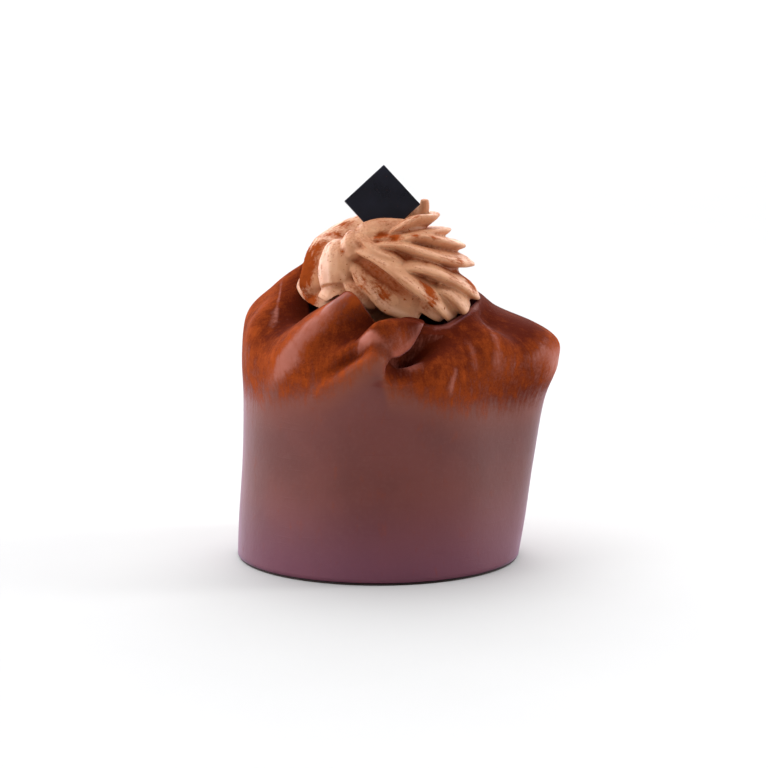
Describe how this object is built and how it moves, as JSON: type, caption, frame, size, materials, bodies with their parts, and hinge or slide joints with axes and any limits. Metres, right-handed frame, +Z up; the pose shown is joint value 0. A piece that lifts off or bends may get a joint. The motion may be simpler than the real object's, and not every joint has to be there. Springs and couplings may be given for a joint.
{
  "type": "chocolate-wrapped merveilleux cake",
  "caption": "Small round cake in a pleated chocolate sheet, with a piped cream rosette and a thin square plaque on top.",
  "frame": {"origin": "centre of the base's underside, on the surface the cake stands on", "axes": "+Z up, the front with the pinched pleat faces -Y, +X to the right with the bulging ear"},
  "size_m": [0.0816, 0.0728, 0.0995],
  "materials": {
    "milk_chocolate": "satin milk chocolate, dusted with cocoa powder on top",
    "dark_chocolate": "satin dark chocolate",
    "mocha_cream": "soft piped cream, lightly dusted with cocoa powder",
    "plaque_glaze": "glossy blue-black"
  },
  "bodies": {
    "root": {"chocolate_wrap": "milk_chocolate", "dark_base": "dark_chocolate", "cream_rosette": "mocha_cream", "plaque": "plaque_glaze"}
  },
  "joints": []
}
